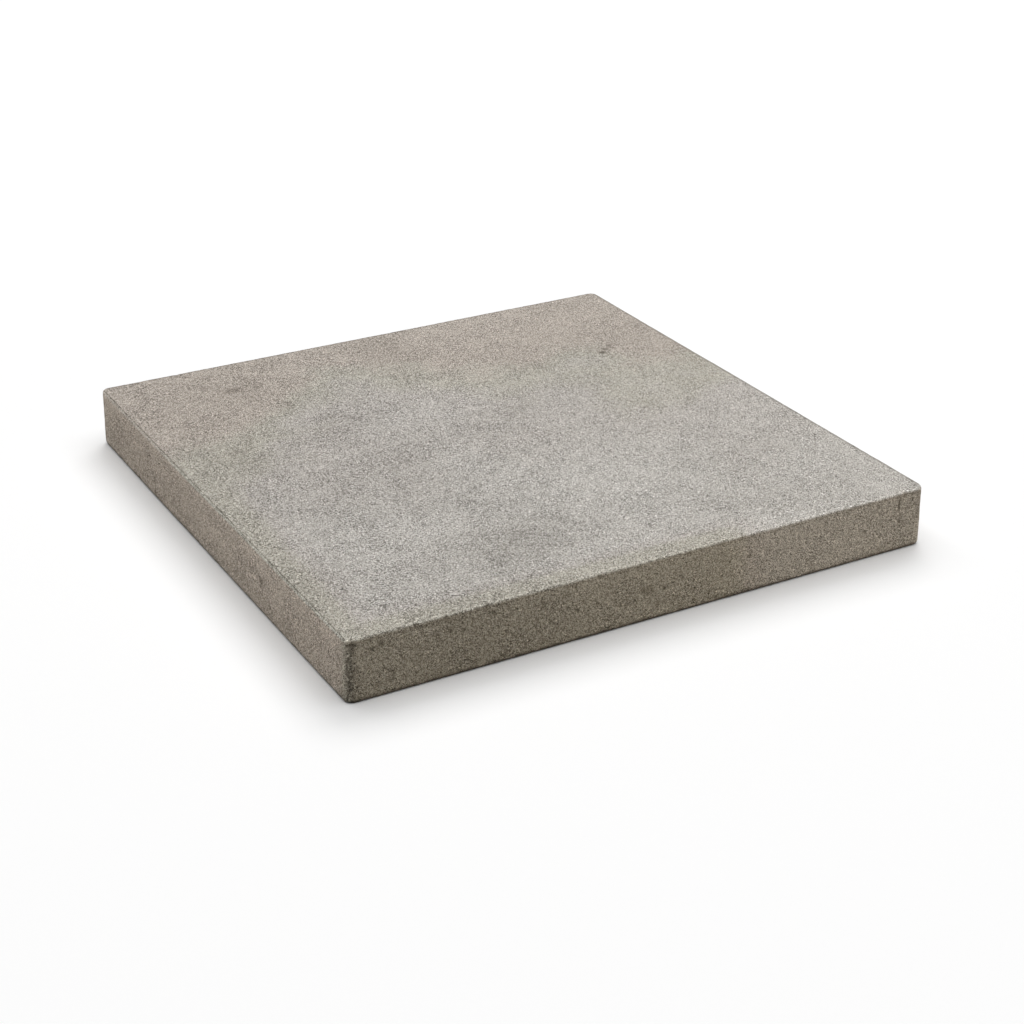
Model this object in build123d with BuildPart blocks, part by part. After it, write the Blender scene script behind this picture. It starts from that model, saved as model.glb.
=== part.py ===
# A square concrete paving slab, cast face down in a mould as one piece.
# It lies flat with the wearing face up. The origin is the centre of the underside, and +Z points up.
import os

from build123d import *

# Driving dimensions, in millimetres and degrees
side_length = 400.0  # plan size at the underside, the widest section
thickness = 40.0
draft_angle = 1.0  # each side leans in towards the wearing face, so that the slab leaves its mould
corner_radius = 6.0  # upright corners, seen in plan at the underside
face_edge_radius = 1.5  # arris round the wearing face
base_edge_radius = 2.5  # arris round the underside

with BuildPart() as paving_slab:
    # The plan outline, drawn on the ground and drawn up with the draft of the mould's sides
    with BuildSketch(Plane.XY):
        RectangleRounded(side_length, side_length, corner_radius)
    extrude(amount=thickness, taper=draft_angle)

    # The two rounded arrises, each one closed loop of edges round a flat face
    wearing_face = paving_slab.faces().sort_by(Axis.Z)[-1]
    fillet(wearing_face.edges(), radius=face_edge_radius)
    underside = paving_slab.faces().sort_by(Axis.Z)[0]
    fillet(underside.edges(), radius=base_edge_radius)

paving_slab.part.label = "paving_slab"

os.makedirs("parts", exist_ok=True)
export_step(paving_slab.part, "parts/paving_slab.step")
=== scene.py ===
# A square concrete paving slab, lying on a pale floor under soft studio light.
import math

import bmesh
import bpy
from mathutils import Matrix, Vector


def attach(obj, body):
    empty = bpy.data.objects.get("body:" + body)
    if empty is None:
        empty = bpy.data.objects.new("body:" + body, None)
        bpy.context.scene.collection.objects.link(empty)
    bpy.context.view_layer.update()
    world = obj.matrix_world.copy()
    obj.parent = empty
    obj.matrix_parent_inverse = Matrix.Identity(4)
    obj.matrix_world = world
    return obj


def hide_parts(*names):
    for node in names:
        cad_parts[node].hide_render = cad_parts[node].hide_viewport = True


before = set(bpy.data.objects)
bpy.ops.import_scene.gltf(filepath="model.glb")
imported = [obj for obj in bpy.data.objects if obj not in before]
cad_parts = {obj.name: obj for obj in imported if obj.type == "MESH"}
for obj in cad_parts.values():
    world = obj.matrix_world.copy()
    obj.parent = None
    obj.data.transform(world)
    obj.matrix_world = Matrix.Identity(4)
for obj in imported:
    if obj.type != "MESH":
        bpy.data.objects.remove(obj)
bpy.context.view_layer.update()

scene = bpy.context.scene
scene.view_settings.view_transform = "Standard"

slabShape = {
    "name": "concreteSlab",
    "node": "paving_slab",
    "body": "root",
    "slot": "concrete",
    "side": 0.400,  # plan size at the underside
    "thickness": 0.040,
    "draft": math.radians(1.0),  # lean of the sides
    "cornerRadius": 0.006,
    "faceArris": 0.0015,  # rounding round the wearing face
    "baseArris": 0.0025,  # rounding round the underside
    "cornerSteps": 6,
    "faceArrisSteps": 5,
    "baseArrisSteps": 4,
    "sideCuts": (55, 3),  # two rounds of cuts along the straight part of each side
    "wallRows": 21,
    "arrisShare": 0.97,  # part of an arris's height that is cut twice as fine
    "undersideShare": 0.10,  # part of the underside's grid that is kept
    "near": 0.00002,  # how close counts as the same height
}


def deselectAll():
    if bpy.context.object and bpy.context.object.mode != "OBJECT":
        bpy.ops.object.mode_set(mode="OBJECT")
    bpy.ops.object.select_all(action="DESELECT")


def pickEdges(piece, wanted):
    bpy.ops.mesh.select_mode(type="EDGE")
    bpy.ops.mesh.select_all(action="DESELECT")
    mesh = bmesh.from_edit_mesh(piece.data)
    for edge in mesh.edges:
        if wanted(edge.verts[0].co, edge.verts[1].co):
            edge.select_set(True)
    bmesh.update_edit_mesh(piece.data)


def pickFaces(piece, wanted):
    bpy.ops.mesh.select_mode(type="FACE")
    bpy.ops.mesh.select_all(action="DESELECT")
    mesh = bmesh.from_edit_mesh(piece.data)
    for face in mesh.faces:
        if wanted(face):
            face.select_set(True)
    bmesh.update_edit_mesh(piece.data)


def roundEdges(radius, steps):
    bpy.ops.mesh.bevel(offset=radius, offset_type="OFFSET", segments=steps, affect="EDGES")


def capWithGrid(piece, level, near, span):
    bpy.ops.mesh.select_mode(type="VERT")
    bpy.ops.mesh.select_all(action="DESELECT")
    mesh = bmesh.from_edit_mesh(piece.data)
    rim = [v for v in mesh.verts if abs(v.co.z - level) < near]
    for vert in rim:
        vert.select_set(True)
    mesh.select_flush_mode()
    corner = min(rim, key=lambda v: v.co.x + v.co.y)  # the grid starts at the middle of a rounded corner
    mesh.select_history.clear()
    mesh.select_history.add(corner)
    bmesh.update_edit_mesh(piece.data)
    bpy.ops.mesh.fill_grid(span=span)


def castSlab(s):
    deselectAll()
    half, top, near = s["side"] / 2, s["thickness"], s["near"]
    bpy.ops.mesh.primitive_cube_add(size=1, location=(0, 0, top / 2), scale=(s["side"], s["side"], top))
    slab = bpy.context.object
    slab.name = slab.data.name = s["name"]
    bpy.ops.object.transform_apply(location=True, rotation=True, scale=True)
    bpy.ops.object.mode_set(mode="EDIT")

    # upright corners, then the lean of the sides, then the two rounded arrises
    pickEdges(slab, lambda a, b: abs(a.z - b.z) > top / 2)
    roundEdges(s["cornerRadius"], s["cornerSteps"])
    pickEdges(slab, lambda a, b: min(a.z, b.z) > top - near)
    shrink = 1 - math.tan(s["draft"]) * top / half
    bpy.ops.transform.resize(value=(shrink, shrink, 1), center_override=(0, 0, top))
    pickEdges(slab, lambda a, b: min(a.z, b.z) > top - near)
    roundEdges(s["faceArris"], s["faceArrisSteps"])
    pickEdges(slab, lambda a, b: max(a.z, b.z) < near)
    roundEdges(s["baseArris"], s["baseArrisSteps"])

    # the two flat faces come out, so that the sides can be cut into even rows
    pickFaces(slab, lambda f: len(f.verts) > 4)
    bpy.ops.mesh.delete(type="ONLY_FACE")
    perSide = 1
    for cuts in s["sideCuts"]:
        pickEdges(slab, lambda a, b: abs(a.z - b.z) < near and (a - b).length > s["cornerRadius"])
        bpy.ops.mesh.subdivide(number_cuts=cuts)
        perSide *= cuts + 1
    pickEdges(slab, lambda a, b: abs(a.z - b.z) > top / 2)
    bpy.ops.mesh.subdivide(number_cuts=s["wallRows"] - 1)
    span = perSide + s["cornerSteps"]
    capWithGrid(slab, top, near, span)
    capWithGrid(slab, 0, near, span)

    # twice as many steps along both arrises, fewer on the hidden underside
    wallTop, wallBase = top - s["faceArris"] * s["arrisShare"], s["baseArris"] * s["arrisShare"]

    def onArris(a, b):
        return abs(a.z - b.z) < near and (wallTop < a.z < top - near or near < a.z < wallBase)

    pickEdges(slab, onArris)
    bpy.ops.mesh.subdivide(number_cuts=1)
    pickFaces(slab, lambda f: max(v.co.z for v in f.verts) < near)
    bpy.ops.mesh.decimate(ratio=s["undersideShare"])
    bpy.ops.mesh.select_all(action="SELECT")
    bpy.ops.mesh.normals_make_consistent(inside=False)
    bpy.ops.object.mode_set(mode="OBJECT")
    bpy.ops.object.shade_smooth()
    return slab


slab = castSlab(slabShape)
slab.data.calc_loop_triangles()
print("slab cast,", len(slab.data.vertices), "points,", len(slab.data.loop_triangles), "triangles")

slabRelief = {  # sizes, heights and depths are in metres
    "layers": {
        "castWave": {"group": "castFaces", "kind": "CLOUDS", "size": 0.105, "octaves": 1, "depth": 0.0003},
        "ripple": {"group": "castFaces", "kind": "CLOUDS", "size": 0.017, "octaves": 2, "depth": 0.0002},
        "sandSkin": {"group": "castFaces", "kind": "CLOUDS", "size": 0.0042, "octaves": 1, "depth": 0.0002},
        "wallPores": {"group": "walls", "kind": "VORONOI", "size": 0.013, "bowl": 0.17, "depth": 0.0009},
        "arrisCrumble": {"group": "arrises", "kind": "CLOUDS", "size": 0.0026, "octaves": 1, "depth": 0.0004},
        "arrisNicks": {"group": "arrises", "kind": "VORONOI", "size": 0.015, "bowl": 0.15, "depth": 0.0009},
    },
    "crests": {"CLOUDS": 0.85, "VORONOI": 1.0},  # the texture's value that stays on the cast surface
    "chips": [  # knocks along the front arris and at the near corner
        {"at": (-0.1955, -0.1985, 0.0395), "reach": 0.0034, "depth": 0.0013},
        {"at": (-0.1795, -0.1990, 0.0395), "reach": 0.0030, "depth": 0.0009},
        {"at": (-0.1560, -0.1990, 0.0395), "reach": 0.0036, "depth": 0.0010},
        {"at": (-0.1375, -0.1990, 0.0395), "reach": 0.0030, "depth": 0.0008},
        {"at": (-0.1115, -0.1990, 0.0395), "reach": 0.0034, "depth": 0.0010},
        {"at": (-0.0385, -0.1990, 0.0395), "reach": 0.0040, "depth": 0.0008},
        {"at": (0.0620, -0.1990, 0.0395), "reach": 0.0036, "depth": 0.0009},
        {"at": (0.1840, -0.1985, 0.0395), "reach": 0.0040, "depth": 0.0012},
    ],
    "chipCore": 0.35,  # share of a chip's reach that has its full depth
    "castStart": (0.0002, 0.0015),  # heights over which the relief sets in, so that the underside stays flat
    "poreFoot": (0.004, 0.007),  # heights over which the pores set in
    "poreHead": (0.003, 0.006),  # the same below the wearing face
    "arrisStart": (0.0002, 0.001),
    "arrisReach": 0.0035,  # how far the crumbled edge goes from the sharp line that the arris would have
    "arrisCore": 0.45,  # share of that reach that is fully crumbled
    "quietSides": 0.30,  # every arris but the front one kept its line better
}


def smoothStep(low, high, value):
    t = min(1, max(0, (value - low) / (high - low)))
    return t * t * (3 - 2 * t)


def weighPoints(piece, groupName, weightAt):
    group = piece.vertex_groups.new(name=groupName)
    for vert in piece.data.vertices:
        weight = weightAt(vert.co)
        if weight > 0:
            group.add([vert.index], weight, "REPLACE")


def weighSlab(piece, s, r):
    half, top, reach = s["side"] / 2, s["thickness"], r["arrisReach"]
    lean = math.tan(s["draft"])

    def castFaces(co):
        return smoothStep(*r["castStart"], co.z)

    def walls(co):
        return smoothStep(*r["poreFoot"], co.z) * smoothStep(*r["poreHead"], top - co.z)

    def arrises(co):
        wall = half - lean * co.z
        first, second = sorted((wall - abs(co.x), wall - abs(co.y)))
        toLine = min(math.hypot(first, top - co.z), math.hypot(first, co.z), math.hypot(first, second))
        weight = 1 - smoothStep(reach * r["arrisCore"], reach, toLine)
        if co.y > -half + 2 * reach:
            weight *= r["quietSides"]
        return weight * smoothStep(*r["arrisStart"], co.z)

    weighPoints(piece, "castFaces", castFaces)
    weighPoints(piece, "walls", walls)
    weighPoints(piece, "arrises", arrises)


def pushIn(piece, name, group, strength, texture=None, crest=0.0):
    push = piece.modifiers.new(name, "DISPLACE")
    push.vertex_group = group
    push.strength = strength
    push.mid_level = crest
    if texture:
        push.texture = texture
        push.texture_coords = "LOCAL"
    bpy.ops.object.modifier_apply(modifier=push.name)


def roughen(piece, name, layer, crests):
    texture = bpy.data.textures.new(name, type=layer["kind"])
    texture.noise_scale = layer["size"]
    if layer["kind"] == "CLOUDS":
        texture.noise_depth = layer["octaves"]
    else:  # round bowls at scattered points
        texture.use_color_ramp = True
        ramp = texture.color_ramp
        ramp.interpolation = "EASE"
        ramp.elements[0].color = (0, 0, 0, 1)
        ramp.elements[1].color = (1, 1, 1, 1)
        ramp.elements[1].position = layer["bowl"]
    pushIn(piece, name, layer["group"], layer["depth"], texture, crests[layer["kind"]])


def chipEdges(piece, r):
    deepest = max(chip["depth"] for chip in r["chips"])

    def knocked(co):
        hits = []
        for chip in r["chips"]:
            away = (co - Vector(chip["at"])).length / chip["reach"]
            hits.append(chip["depth"] / deepest * (1 - smoothStep(r["chipCore"], 1.0, away)))
        return max(hits)

    weighPoints(piece, "chips", knocked)
    pushIn(piece, "chips", "chips", -deepest)


weighSlab(slab, slabShape, slabRelief)
for layerName, reliefLayer in slabRelief["layers"].items():
    roughen(slab, layerName, reliefLayer, slabRelief["crests"])
chipEdges(slab, slabRelief)
print("slab roughened, box", [round(v * 1000, 2) for v in slab.dimensions])

concreteFinish = {  # noise and grain sizes are in cells per metre, places and widths in metres
    # slow tints: warmth grows towards the back and to both sides, and strays
    "tints": {  # the skin between its dark furrows: place on a scale from cool to warm, then colour
        "paleBlueGrey": (0.15, (0.499, 0.475, 0.440)),
        "coolGrey": (0.50, (0.485, 0.454, 0.419)),
        "oliveGrey": (0.66, (0.451, 0.426, 0.369)),
        "warmTaupe": (0.80, (0.466, 0.416, 0.366)),
    },
    "wallTint": (0.974, 0.926, 0.864),
    "noiseSpan": (0.25, 0.75),  # where nearly all of a noise's values lie
    "warmthScale": (-0.25, 0.10),
    "coolLine": -0.02,  # x of the coolest line
    "warmOutwards": 0.45,
    "tintNoise": {"size": 11.0, "detail": 4.0, "roughness": 0.6, "shift": (3.1, 1.7, 0.4)},
    "tintStrays": (-0.215, -0.075),
    "coolSpots": [  # less warm than their surroundings: centre, half-size, how far the tint is moved
        {"at": (-0.045, 0.130, 0.040), "reach": (0.050, 0.090, 0.200), "shift": 0.01},
    ],
    "nearStrip": (0.010, 0.038),  # along the two near edges nothing is cooler than olive
    "nearStripEnd": (0.05, 0.11),
    "nearWarmth": -0.02,
    "leftWarmth": 0.05,  # added on the left side, which is taupe
    "leftStart": (-0.197, -0.190),
    # stains, with painted light across the wearing face and painted shade on the front side
    "cloudNoise": {"size": 14.0, "detail": 3.0, "roughness": 0.5, "shift": (7.3, 2.2, 1.9)},
    "cloudContrast": 0.05,
    "paintedSideLight": (0.89, 1.02),  # painted light: the wearing face is painted darker on its left and lighter on its right, as the light falls
    "paintedSideLightEnds": (-0.20, 0.13),
    "patchWander": {"size": 30.0, "amount": 0.05},
    "patches": [  # slow stains on the wearing face: centre, half-size, how much darker
        {"at": (-0.065, -0.145, 0.040), "reach": (0.075, 0.042, 0.200), "dark": 0.16},
        {"at": (0.130, -0.165, 0.040), "reach": (0.100, 0.050, 0.200), "dark": 0.05},
        {"at": (-0.160, 0.055, 0.040), "reach": (0.060, 0.060, 0.200), "dark": -0.04},
        {"at": (-0.065, -0.070, 0.040), "reach": (0.045, 0.040, 0.200), "dark": 0.06},
        {"at": (-0.070, 0.010, 0.040), "reach": (0.050, 0.045, 0.200), "dark": 0.05},
        {"at": (0.000, 0.015, 0.040), "reach": (0.040, 0.025, 0.200), "dark": 0.05},
        {"at": (0.032, 0.036, 0.040), "reach": (0.040, 0.022, 0.200), "dark": 0.06},
        {"at": (0.085, -0.155, 0.040), "reach": (0.050, 0.030, 0.200), "dark": 0.04},
        {"at": (-0.120, 0.155, 0.040), "reach": (0.045, 0.030, 0.200), "dark": 0.10},
        {"at": (0.005, 0.170, 0.040), "reach": (0.030, 0.050, 0.200), "dark": 0.09},
        {"at": (-0.020, -0.195, 0.040), "reach": (0.130, 0.030, 0.200), "dark": 0.04},
        {"at": (-0.112, -0.108, 0.040), "reach": (0.050, 0.040, 0.200), "dark": -0.04},
        {"at": (0.125, -0.100, 0.040), "reach": (0.085, 0.045, 0.200), "dark": 0.07},
        {"at": (-0.070, 0.065, 0.040), "reach": (0.045, 0.040, 0.200), "dark": 0.05},
    ],
    "scarWander": {"size": 300.0, "amount": 0.003},
    "scarCore": 0.4,  # share of a scar's half-size that has its full tone
    "scars": [  # small marks with a sharper edge, dark but for a light one at the near corner
        {"at": (0.1400, 0.0890, 0.040), "reach": (0.0036, 0.0040, 0.006), "dark": 0.62},
        {"at": (0.1450, 0.0935, 0.040), "reach": (0.0034, 0.0040, 0.006), "dark": 0.50},
        {"at": (0.1510, 0.0990, 0.040), "reach": (0.0026, 0.0034, 0.006), "dark": 0.36},
        {"at": (-0.120, 0.152, 0.040), "reach": (0.008, 0.006, 0.004), "dark": 0.24},
        {"at": (-0.006, -0.200, 0.021), "reach": (0.007, 0.004, 0.004), "dark": 0.35},
        {"at": (-0.184, -0.200, 0.031), "reach": (0.003, 0.004, 0.002), "dark": 0.40},
        {"at": (-0.178, -0.200, 0.033), "reach": (0.003, 0.004, 0.003), "dark": 0.40},
        {"at": (-0.200, -0.082, 0.022), "reach": (0.004, 0.004, 0.003), "dark": 0.45},
        {"at": (-0.1968, -0.1975, 0.0386), "reach": (0.0030, 0.0030, 0.0018), "dark": -0.45},
        {"at": (-0.1950, -0.1985, 0.0362), "reach": (0.0030, 0.0030, 0.0020), "dark": 0.45},
        {"at": (0.1790, -0.1990, 0.0320), "reach": (0.0014, 0.0040, 0.0060), "dark": 0.55},
        {"at": (0.0665, -0.1996, 0.0248), "reach": (0.0022, 0.0040, 0.0018), "dark": 0.50},
        {"at": (-0.1355, -0.1996, 0.0295), "reach": (0.0018, 0.0040, 0.0015), "dark": 0.50},
    ],
    "frontShadeEnds": [  # painted shade: darker parts of the front side, most of all towards its left end
        {"at": (-0.215, -0.200, 0.018), "reach": (0.400, 0.020, 0.060), "dark": 0.16},
        {"at": (0.210, -0.200, 0.026), "reach": (0.070, 0.020, 0.050), "dark": 0.12},
    ],
    # edges, with painted shade and painted highlights along them
    "sideBand": (0.002, 0.006),  # how far in from the outline the marks of one side fade out
    "patchyNoise": {"size": 140.0, "detail": 2.0, "roughness": 0.5},
    "patchyEnds": (0.35, 0.60),
    "patchyLow": 0.5,
    # painted shade: dark lines along the arrises
    "leftRimShade": {"inset": 0.0014, "core": 0.0001, "reach": 0.0007, "dark": 0.55},
    "farRimShade": (0.0017, 0.0032),
    "farRimShadeDepth": (0.004, 0.002),
    "farRimShadeDark": 0.40,
    # painted highlights on the arris heads, and painted shade under the front one
    "frontArrisHighlight": {"below": 0.0009, "core": 0.0003, "reach": 0.0008, "dark": -0.20},
    "leftArrisHighlight": {"below": 0.0009, "core": 0.0003, "reach": 0.0009, "dark": -0.14},
    "underArrisShade": {"below": 0.0022, "core": 0.0005, "reach": 0.0018, "dark": 0.20},
    "chipWander": {"size": 400.0, "amount": 0.003},
    "chipDrop": 0.45,  # painted shade in the chip's hollow, against the chip's reach: how much lower, and its half-size
    "chipSpread": 0.75,
    "chipCore": 0.3,
    "chipShadeDark": 0.34,
    "cornerShadeBand": {
        "start": (-0.0024, -0.0012),  # from the near corner's middle along the left side and the front one
        "end": (0.0015, 0.0085),
        "below": (0.0030, 0.0018),
        "reach": (0.006, 0.014),
        "dark": 0.60,
    },
    "knotNoise": {"size": 560.0, "detail": 1.0, "roughness": 0.5},
    "knotEnds": (0.40, 0.58),
    "knotLow": 0.25,
    "wallShadeFade": (0.905, 1.122),  # painted shade: tone at the foot and at the head of every side but the front one, darker towards the floor
    "wallShadeMargin": 0.003,
    # painted shade: a dark line along the foot of every side, where it meets the floor
    "footShadeNoise": {"size": 120.0, "detail": 2.0, "roughness": 0.5},
    "footShadeEnds": (0.3, 0.7),
    "footShadeHeights": (0.0016, 0.0046),
    "footShadeFade": (0.3, 1.0),
    "footShadeDark": 0.54,
    # sand and dust
    "wallStart": (1.6, 0.5),  # depths over which a side turns into the wearing face, in arris radii
    "roughNoise": {"size": 55.0, "detail": 2.0, "roughness": 0.5, "shift": (5.2, 0.3, 1.1)},
    "roughEnds": (0.35, 0.65),
    "speckle": {"straight": 0.35, "squared": -0.2, "cubed": 0.65, "lift": 0.067},
    "sandSize": 2000.0,
    "sandContrast": 0.30,
    "wallSandContrast": 0.52,
    "sandInRough": (0.6, 1.4),  # share of that contrast in smooth and in rough patches
    "dustSize": 3000.0,
    "dustShift": (1.3, 0.9, 2.1),
    "dustContrast": 1.14,
    "grainNoise": {"size": 420.0, "detail": 2.0, "roughness": 0.6},
    "grainContrast": 0.05,
    # furrows and pits
    "strokes": [  # short curved furrows in the skin, painted dark for their shade, and pale ridges painted light
        {"size": 560.0, "width": 0.14, "dark": 0.595, "shift": (0.6, 4.1, 2.3)},
        {"size": 860.0, "width": 0.16, "dark": 0.415, "shift": (3.6, 1.1, 7.3)},
        {"size": 660.0, "width": 0.145, "dark": -0.29, "shift": (9.1, 0.7, 5.3)},
    ],
    "strokeCurl": 1.3,  # size of the noise that bends and breaks the strokes, against their own
    "strokeBend": 0.0012,
    "strokeCore": 0.3,
    "strokeGaps": (0.50, 0.60),
    "strokesInSmooth": 0.6,  # strength in smooth patches, on the front side and at the right
    "strokesOnFront": 0.76,
    "strokesAtRight": 0.78,
    "frontStart": (-0.198, -0.194),
    "rightStart": (-0.05, 0.15),
    "strokeTone": (0.979, 1.033),  # evens out the mean tone between the right and the left
    "pitSize": 150.0,
    "pitSeeds": (0.55, 1.0),  # the cells that hold a pit, from the smallest to the widest
    "pitLeast": 0.005,
    "pitWidths": (0.2, 0.3),  # widest on the wearing face and on the sides
    "pitFade": (0.4, 1.0),
    "pitShadeDark": 0.42,
    "darkWarmth": (0.97, 1.0, 1.06),  # powers of red, green and blue: dark marks are a little warmer
    # height and gloss
    "pockNoise": {"size": 210.0, "detail": 3.0, "roughness": 0.6, "shift": (2.7, 6.4, 3.3)},
    "pockDepths": (0.0003, 0.0012),  # on the wearing face and on the sides
    "rises": {"grain": 0.0005, "sand": -0.00015, "strokes": 0.0006, "pits": -0.0005},
    "roughness": 0.92,
    "specular": 0.2,
}


def addNode(tree, kind, inputs=None, **settings):
    node = tree.nodes.new(kind)
    for key, value in settings.items():
        setattr(node, key, value)
    for key, value in (inputs or {}).items():
        if isinstance(value, bpy.types.NodeSocket):
            tree.links.new(value, node.inputs[key])
        else:
            node.inputs[key].default_value = value
    return node


def calc(tree, operation, a, b=0.0):
    return addNode(tree, "ShaderNodeMath", {0: a, 1: b}, operation=operation).outputs[0]


def product(tree, first, *others):
    for other in others:
        first = calc(tree, "MULTIPLY", first, other)
    return first


def total(tree, first, *others):
    for other in others:
        first = calc(tree, "ADD", first, other)
    return first


def invert(tree, mask):
    return calc(tree, "SUBTRACT", 1.0, mask)


def vectorCalc(tree, operation, a, b):
    return addNode(tree, "ShaderNodeVectorMath", {0: a, 1: b}, operation=operation).outputs[0]


def remap(tree, value, ends, toLow=0.0, toHigh=1.0, kind="SMOOTHSTEP"):
    sockets = {"Value": value, "From Min": ends[0], "From Max": ends[1], "To Min": toLow, "To Max": toHigh}
    return addNode(tree, "ShaderNodeMapRange", sockets, interpolation_type=kind).outputs["Result"]


def fadeOut(tree, value, ends):
    return remap(tree, value, ends, 1.0, 0.0)


def blend(tree, mask, low, high):
    return remap(tree, mask, (0.0, 1.0), low, high, "LINEAR")


def around(tree, value, contrast, span):  # a tone that swings evenly about 1
    return remap(tree, value, span, 1 - contrast, 1 + contrast, "LINEAR")


def speckle(tree, seed, contrast, curve):  # as around, with most values close to 1 and a long dark tail
    swing = blend(tree, seed, -1.0, 1.0)
    bend = total(tree, product(tree, swing, curve["cubed"]), curve["squared"])
    tail = product(tree, product(tree, swing, swing), bend)
    swing = total(tree, product(tree, swing, curve["straight"]), tail, curve["lift"])
    return total(tree, product(tree, swing, contrast), 1.0)


def mixColour(tree, kind, factor, a, b):
    mix = addNode(tree, "ShaderNodeMix", {0: factor, 6: a, 7: b}, data_type="RGBA", blend_type=kind)
    return mix.outputs[2]


def shifted(tree, place, shift):
    return vectorCalc(tree, "ADD", place, shift)


def noise(tree, place, n):
    moved = shifted(tree, place, n["shift"]) if "shift" in n else place
    sockets = {"Vector": moved, "Scale": n["size"], "Detail": n["detail"], "Roughness": n["roughness"]}
    return addNode(tree, "ShaderNodeTexNoise", sockets).outputs["Fac"]


def cells(tree, place, size):  # distance to the nearest grain, and a random value for that grain
    node = addNode(tree, "ShaderNodeTexVoronoi", {"Vector": place, "Scale": size}, feature="F1")
    seed = addNode(tree, "ShaderNodeSeparateColor", {0: node.outputs["Color"]}).outputs[0]
    return node.outputs["Distance"], seed


def blot(tree, place, mark, core=0.15):  # 1 in the middle of a mark, 0 outside it
    sockets = {"Vector": place, "Location": mark["at"], "Scale": mark["reach"]}
    local = addNode(tree, "ShaderNodeMapping", sockets, vector_type="TEXTURE").outputs[0]
    away = addNode(tree, "ShaderNodeVectorMath", {0: local}, operation="LENGTH").outputs["Value"]
    return fadeOut(tree, away, (core, 1.0))


def line(tree, value, middle, mark):  # 1 along a line, 0 away from it
    away = calc(tree, "ABSOLUTE", calc(tree, "SUBTRACT", value, middle))
    return fadeOut(tree, away, (mark["core"], mark["reach"]))


def darken(tree, shade, mask, amount):
    return product(tree, shade, invert(tree, product(tree, mask, amount)))


def wander(tree, place, size, amount, detail=3.0):  # place, moved about by a noise, to blur an outline
    curl = addNode(tree, "ShaderNodeTexNoise", {"Vector": place, "Scale": size, "Detail": detail})
    curl = vectorCalc(tree, "SUBTRACT", curl.outputs["Color"], (0.5, 0.5, 0.5))
    curl = addNode(tree, "ShaderNodeVectorMath", {0: curl, "Scale": amount}, operation="SCALE")
    return vectorCalc(tree, "ADD", place, curl.outputs[0])


def strokes(tree, place, kind, c):  # short bent lines of even width
    width, curl = kind["width"], c["strokeCurl"] * kind["size"]
    moved = shifted(tree, place, kind["shift"])
    sockets = {"Vector": wander(tree, moved, curl, c["strokeBend"]), "Scale": kind["size"]}
    web = addNode(tree, "ShaderNodeTexVoronoi", sockets, feature="DISTANCE_TO_EDGE").outputs["Distance"]
    lines = fadeOut(tree, web, (c["strokeCore"] * width, width))
    gaps = noise(tree, moved, {"size": curl, "detail": 0.0, "roughness": 0.5})
    return product(tree, lines, remap(tree, gaps, c["strokeGaps"]))


def alongSide(tree, axis, c, s):  # 1 on the front side for the y axis, or on the left side for the x axis
    return fadeOut(tree, axis, [inset - s["side"] / 2 for inset in c["sideBand"]])


def slowTint(tree, place, axes, onWall, c, s):
    offLine = calc(tree, "ABSOLUTE", calc(tree, "SUBTRACT", axes["X"], c["coolLine"]))
    strays = remap(tree, noise(tree, place, c["tintNoise"]), c["noiseSpan"], *c["tintStrays"], "LINEAR")
    warmth = total(tree, axes["Y"], product(tree, offLine, c["warmOutwards"]), strays)
    strayed = wander(tree, place, **c["patchWander"])
    for spot in c["coolSpots"]:
        warmth = calc(tree, "SUBTRACT", warmth, product(tree, blot(tree, strayed, spot), spot["shift"]))

    # the strip along the near edges is brought up to the olive tint, and on the left side to taupe
    nearEdge = total(tree, calc(tree, "MINIMUM", axes["X"], axes["Y"]), s["side"] / 2)
    strip = fadeOut(tree, nearEdge, c["nearStrip"])
    strip = product(tree, strip, fadeOut(tree, axes["X"], c["nearStripEnd"]))
    leftWall = product(tree, remap(tree, axes["Y"], c["leftStart"], 0.0, c["leftWarmth"]), onWall)
    wanted = total(tree, leftWall, c["nearWarmth"])
    missing = calc(tree, "MAXIMUM", calc(tree, "SUBTRACT", wanted, warmth), 0.0)
    warmth = total(tree, warmth, product(tree, strip, missing))

    ramp = addNode(tree, "ShaderNodeValToRGB", {"Fac": remap(tree, warmth, c["warmthScale"], kind="LINEAR")})
    stops = ramp.color_ramp.elements
    for position, colour in c["tints"].values():
        stop = stops.new(position)
        stop.color = (*colour, 1)
    stops.remove(stops[-1])
    stops.remove(stops[0])
    return mixColour(tree, "MULTIPLY", onWall, ramp.outputs["Color"], (*c["wallTint"], 1))


# slow stains and small marks, with painted light across the wearing face and painted shade on the front side
def stainsAndPaintedShade(tree, place, axes, onWall, c):
    shade = around(tree, noise(tree, place, c["cloudNoise"]), c["cloudContrast"], c["noiseSpan"])
    onFace = invert(tree, onWall)
    # painted light: the wearing face darker to the left and lighter to the right
    paintedDrift = calc(tree, "SUBTRACT", remap(tree, axes["X"], c["paintedSideLightEnds"], *c["paintedSideLight"]), 1.0)
    shade = product(tree, shade, total(tree, product(tree, paintedDrift, onFace), 1.0))
    strayed = wander(tree, place, **c["patchWander"])
    for patch in c["patches"]:
        shade = darken(tree, shade, product(tree, blot(tree, strayed, patch), onFace), patch["dark"])
    scratched = wander(tree, place, **c["scarWander"])
    for scar in c["scars"]:
        shade = darken(tree, shade, blot(tree, scratched, scar, c["scarCore"]), scar["dark"])
    # painted shade along the front side
    for end in c["frontShadeEnds"]:
        shade = darken(tree, shade, product(tree, blot(tree, place, end), onWall), end["dark"])
    return shade


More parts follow.
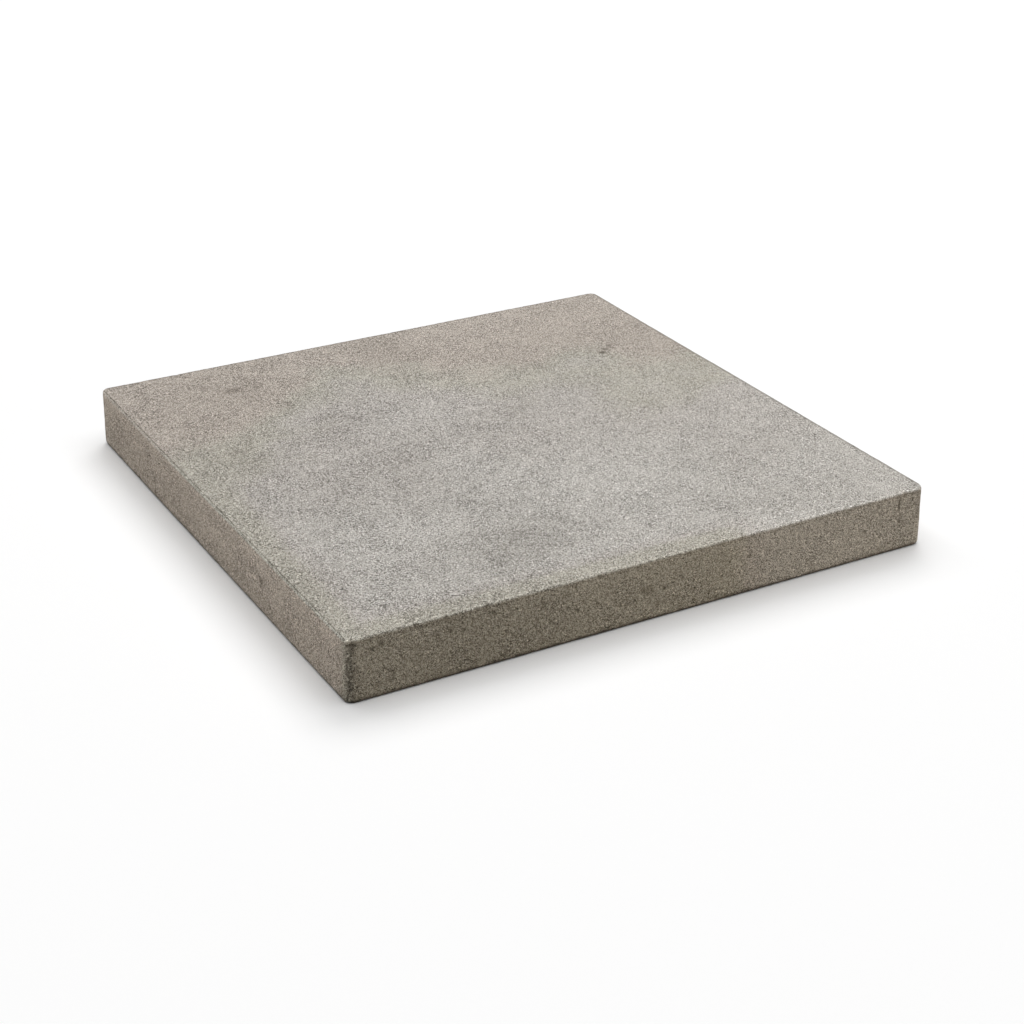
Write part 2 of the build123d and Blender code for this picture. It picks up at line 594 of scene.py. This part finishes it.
def rimShade(tree, place, axes, onWall, shade, c, s):
    top, lean = s["thickness"], math.tan(s["draft"])
    outermost = calc(tree, "MAXIMUM", calc(tree, "ABSOLUTE", axes["X"]), calc(tree, "ABSOLUTE", axes["Y"]))
    inset = calc(tree, "SUBTRACT", s["side"] / 2, outermost)
    inset = calc(tree, "SUBTRACT", inset, product(tree, axes["Z"], lean))
    patchy = remap(tree, noise(tree, place, c["patchyNoise"]), c["patchyEnds"], c["patchyLow"])
    front = alongSide(tree, axes["Y"], c, s)
    atLeft = alongSide(tree, axes["X"], c, s)
    left = product(tree, invert(tree, front), atLeft)
    far = product(tree, invert(tree, front), invert(tree, atLeft))

    # painted shade: a thin dark line just inside the left arris, and one on the back and right arrises
    mark = c["leftRimShade"]
    rimShadeLine = product(tree, line(tree, inset, mark["inset"], mark), invert(tree, onWall), left, patchy)
    shade = darken(tree, shade, rimShadeLine, mark["dark"])
    farRimShade = remap(tree, axes["Z"], [top - depth for depth in c["farRimShadeDepth"]])
    farRimShade = product(tree, farRimShade, fadeOut(tree, inset, c["farRimShade"]), far)
    shade = darken(tree, shade, farRimShade, c["farRimShadeDark"])

    # painted highlight on the head of the front arris and a little on the left one, and a painted shade line
    # under the front one
    masks = {"frontArrisHighlight": front, "leftArrisHighlight": left, "underArrisShade": product(tree, front, patchy)}
    for name, mask in masks.items():
        mark = c[name]
        band = line(tree, axes["Z"], top - mark["below"], mark)
        shade = darken(tree, shade, product(tree, band, mask), mark["dark"])

    # painted shade in the hollow under each chip
    jagged = wander(tree, place, **c["chipWander"])
    for chip in slabRelief["chips"]:
        x, y, z = chip["at"]
        reach = chip["reach"]
        chipShade = {"at": (x, y, z - c["chipDrop"] * reach), "reach": [c["chipSpread"] * reach] * 3}
        shade = darken(tree, shade, blot(tree, jagged, chipShade, c["chipCore"]), c["chipShadeDark"])
    return shade


def cornerShade(tree, place, axes, onWall, shade, c, s):  # painted shade: a dark band with light knots, down the near corner
    band = c["cornerShadeBand"]
    sideways = calc(tree, "SUBTRACT", axes["X"], axes["Y"])
    outwards = total(tree, axes["X"], axes["Y"])
    mask = product(tree, remap(tree, sideways, band["start"]), fadeOut(tree, sideways, band["end"]), onWall)
    head = fadeOut(tree, axes["Z"], [s["thickness"] - depth for depth in band["below"]])
    atCorner = fadeOut(tree, outwards, [reach - s["side"] for reach in band["reach"]])
    knots = remap(tree, noise(tree, place, c["knotNoise"]), c["knotEnds"], c["knotLow"])
    return darken(tree, shade, product(tree, mask, head, atCorner, knots), band["dark"])


def footShade(tree, place, axes, onWall, shade, c, s):  # painted shade: sides that darken downwards, and a dark line at the foot
    foot, head = (tone - 1 for tone in c["wallShadeFade"])
    margin = c["wallShadeMargin"]
    rise = remap(tree, axes["Z"], (margin, s["thickness"] - margin), foot, head, "LINEAR")
    otherSides = invert(tree, alongSide(tree, axes["Y"], c, s))
    shade = product(tree, shade, total(tree, product(tree, rise, onWall, otherSides), 1.0))
    # painted shade along the foot
    footShadeTop = remap(tree, noise(tree, place, c["footShadeNoise"]), c["footShadeEnds"], *c["footShadeHeights"], "LINEAR")
    footShadeLine = fadeOut(tree, calc(tree, "DIVIDE", axes["Z"], footShadeTop), c["footShadeFade"])
    return darken(tree, shade, footShadeLine, c["footShadeDark"])


def mixConcrete(c, s):
    material = bpy.data.materials.new("castConcrete")
    material.use_nodes = True
    tree = material.node_tree
    tree.nodes.clear()
    place = addNode(tree, "ShaderNodeTexCoord").outputs["Object"]
    axes = addNode(tree, "ShaderNodeSeparateXYZ", {0: place}).outputs
    onWall = fadeOut(tree, axes["Z"], [s["thickness"] - radii * s["faceArris"] for radii in c["wallStart"]])
    colour = slowTint(tree, place, axes, onWall, c, s)
    shade = stainsAndPaintedShade(tree, place, axes, onWall, c)
    for addMarks in (rimShade, cornerShade, footShade):
        shade = addMarks(tree, place, axes, onWall, shade, c, s)

    # sand and dust, with most grains near the mean tone and a few far from it, and a coarser unevenness
    rough = remap(tree, noise(tree, place, c["roughNoise"]), c["roughEnds"])
    sandDistance, sandSeed = cells(tree, place, c["sandSize"])
    sandContrast = blend(tree, onWall, c["sandContrast"], c["wallSandContrast"])
    sandContrast = product(tree, sandContrast, blend(tree, rough, *c["sandInRough"]))
    shade = product(tree, shade, speckle(tree, sandSeed, sandContrast, c["speckle"]))
    dustSeed = cells(tree, shifted(tree, place, c["dustShift"]), c["dustSize"])[1]
    shade = product(tree, shade, speckle(tree, dustSeed, c["dustContrast"], c["speckle"]))
    grain = noise(tree, place, c["grainNoise"])
    shade = product(tree, shade, around(tree, grain, c["grainContrast"], c["noiseSpan"]))

    # short strokes like felt, painted dark and light for the shade and light on their relief, fainter in
    # smooth patches, on the front side and at the right
    onFront = product(tree, onWall, fadeOut(tree, axes["Y"], c["frontStart"]))
    smoothed = remap(tree, axes["X"], c["rightStart"], 1.0, c["strokesAtRight"])
    crinkled = product(tree, blend(tree, rough, c["strokesInSmooth"], 1.0), smoothed)
    crinkled = product(tree, crinkled, blend(tree, onFront, 1.0, c["strokesOnFront"]))
    evened = remap(tree, smoothed, (c["strokesAtRight"], 1.0), *c["strokeTone"], "LINEAR")
    shade = product(tree, shade, evened)
    relief = 0.0
    for kind in c["strokes"]:
        mark = product(tree, strokes(tree, place, kind, c), crinkled)
        shade = darken(tree, shade, mark, kind["dark"])
        relief = calc(tree, "SUBTRACT", relief, product(tree, mark, kind["dark"]))

    # scattered pits, painted dark partly for the shade in them
    pitDistance, pitSeed = cells(tree, place, c["pitSize"])
    pitReach = remap(tree, pitSeed, c["pitSeeds"], c["pitLeast"], 1.0, "LINEAR")
    pitReach = product(tree, pitReach, blend(tree, onWall, *c["pitWidths"]))
    pit = fadeOut(tree, calc(tree, "DIVIDE", pitDistance, pitReach), c["pitFade"])
    shade = darken(tree, shade, pit, c["pitShadeDark"])
    channels = [calc(tree, "POWER", shade, power) for power in c["darkWarmth"]]
    tone = addNode(tree, "ShaderNodeCombineColor", dict(enumerate(channels))).outputs[0]

    # height of all that, in metres
    height = product(tree, noise(tree, place, c["pockNoise"]), blend(tree, onWall, *c["pockDepths"]))
    parts = {"grain": grain, "sand": sandDistance, "strokes": relief, "pits": pit}
    for name, rise in c["rises"].items():
        height = total(tree, height, product(tree, parts[name], rise))
    bump = addNode(tree, "ShaderNodeBump", {"Height": height, "Strength": 1.0, "Distance": 1.0}).outputs[0]

    finish = {"Base Color": mixColour(tree, "MULTIPLY", 1.0, colour, tone), "Normal": bump}
    shader = addNode(tree, "ShaderNodeBsdfPrincipled", finish)
    shader.inputs["Roughness"].default_value = c["roughness"]
    shader.inputs["Specular IOR Level"].default_value = c["specular"]
    output = addNode(tree, "ShaderNodeOutputMaterial")
    tree.links.new(shader.outputs[0], output.inputs["Surface"])
    return material


slab.data.materials.append(mixConcrete(concreteFinish, slabShape))
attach(slab, slabShape["body"])
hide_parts(slabShape["node"])
print("concrete mixed")

studio = {
    "floorSize": 14.0,
    "floorSeen": 1.0,  # floor colour for the camera
    "floorBounce": 0.30,  # floor colour for the light that it sends back
    "skyLight": 0.07,
    "ceilingPanels": {  # a broad one, and a smaller one at the back right that deepens the shadow's foot
        "overhead": {
            "at": (1.84, 3.25, 12.0),
            "aim": (1.84, 3.25, 0.0),
            "size": (18.05, 22.74),
            "power": 2275,
            "colour": (1, 1, 1),
        },
        "backKey": {
            "at": (7.90, 9.05, 12.0),
            "aim": (7.90, 9.05, 0.0),
            "size": (10.23, 9.91),
            "power": 806,
            "colour": (1, 1, 1),
        },
    },
    "sidePanels": {  # flagged off the floor
        "frontSoftbox": {
            "at": (0.72, -0.95, 0.30),
            "aim": (0.05, -0.2, 0.02),
            "size": (0.5, 0.5),
            "power": 3.6,
            "colour": (1.0, 0.91, 0.75),
        },
        "leftSoftbox": {
            "at": (-2.6, 0.1, 0.75),
            "aim": (-0.2, 0.0, 0.02),
            "size": (2.0, 2.0),
            "power": 33.0,
            "colour": (0.98, 1, 1),
        },
    },
}


def seenMask(tree):  # 1 where the camera, or a clear reflection, looks
    rays = addNode(tree, "ShaderNodeLightPath").outputs
    clear = calc(tree, "MAXIMUM", rays["Is Glossy Ray"], rays["Is Transmission Ray"])
    return calc(tree, "MAXIMUM", rays["Is Camera Ray"], clear)


def layFloor(s):
    deselectAll()
    bpy.ops.mesh.primitive_plane_add(size=s["floorSize"], location=(0, 0, 0))
    floor = bpy.context.object
    floor.name = "paleFloor"
    material = bpy.data.materials.new("paleFloor")
    material.use_nodes = True
    tree = material.node_tree
    tree.nodes.clear()
    seen = addNode(tree, "ShaderNodeBsdfDiffuse", {"Color": (*[s["floorSeen"]] * 3, 1)}).outputs[0]
    bounce = addNode(tree, "ShaderNodeBsdfDiffuse", {"Color": (*[s["floorBounce"]] * 3, 1)}).outputs[0]
    mix = addNode(tree, "ShaderNodeMixShader", {0: seenMask(tree), 1: bounce, 2: seen}).outputs[0]
    output = addNode(tree, "ShaderNodeOutputMaterial")
    tree.links.new(mix, output.inputs["Surface"])
    floor.data.materials.append(material)


def hangPanel(name, panel):
    light = bpy.data.lights.new(name, "AREA")
    light.shape = "RECTANGLE"
    light.size, light.size_y = panel["size"]
    light.energy = panel["power"]
    light.color = panel["colour"]
    holder = bpy.data.objects.new(name, light)
    holder.location = panel["at"]
    away = Vector(panel["at"]) - Vector(panel["aim"])
    holder.rotation_euler = away.to_track_quat("Z", "Y").to_euler()
    holder.visible_camera = False
    scene.collection.objects.link(holder)
    return holder


def hangLights(s):
    for name, panel in s["ceilingPanels"].items():
        hangPanel(name, panel)
    lit = bpy.data.collections.new("litBySidePanels")
    lit.objects.link(slab)
    for name, panel in s["sidePanels"].items():
        hangPanel(name, panel).light_linking.receiver_collection = lit
    world = bpy.data.worlds.new("studioSky")
    scene.world = world
    world.use_nodes = True
    tree = world.node_tree
    tree.nodes.clear()
    strength = blend(tree, seenMask(tree), s["skyLight"], 1.0)
    sky = addNode(tree, "ShaderNodeBackground", {"Color": (1, 1, 1, 1), "Strength": strength}).outputs[0]
    output = addNode(tree, "ShaderNodeOutputWorld")
    tree.links.new(sky, output.inputs["Surface"])


layFloor(studio)
hangLights(studio)
print("floor and lights set")

viewpoint = {  # matched to the photograph's edges
    "azimuth": math.radians(-29.353),
    "elevation": math.radians(26.414),
    "roll": math.radians(0.162),
    "target": (-0.02378, -0.06959, 0.01946),
    "distance": 1.27355,
    "lens": 71.137,
    "sensor": 36.0,
}


def placeCamera(v):
    lens = bpy.data.cameras.new("viewCamera")
    lens.lens = v["lens"]
    lens.sensor_width = v["sensor"]
    lens.sensor_fit = "HORIZONTAL"
    camera = bpy.data.objects.new("viewCamera", lens)
    scene.collection.objects.link(camera)
    flat = math.cos(v["elevation"])
    back = Vector((math.sin(v["azimuth"]) * flat, -math.cos(v["azimuth"]) * flat, math.sin(v["elevation"])))
    turn = back.to_track_quat("Z", "Y").to_matrix().to_4x4() @ Matrix.Rotation(v["roll"], 4, "Z")
    camera.matrix_world = Matrix.Translation(Vector(v["target"]) + v["distance"] * back) @ turn
    scene.camera = camera


placeCamera(viewpoint)
print("camera placed")
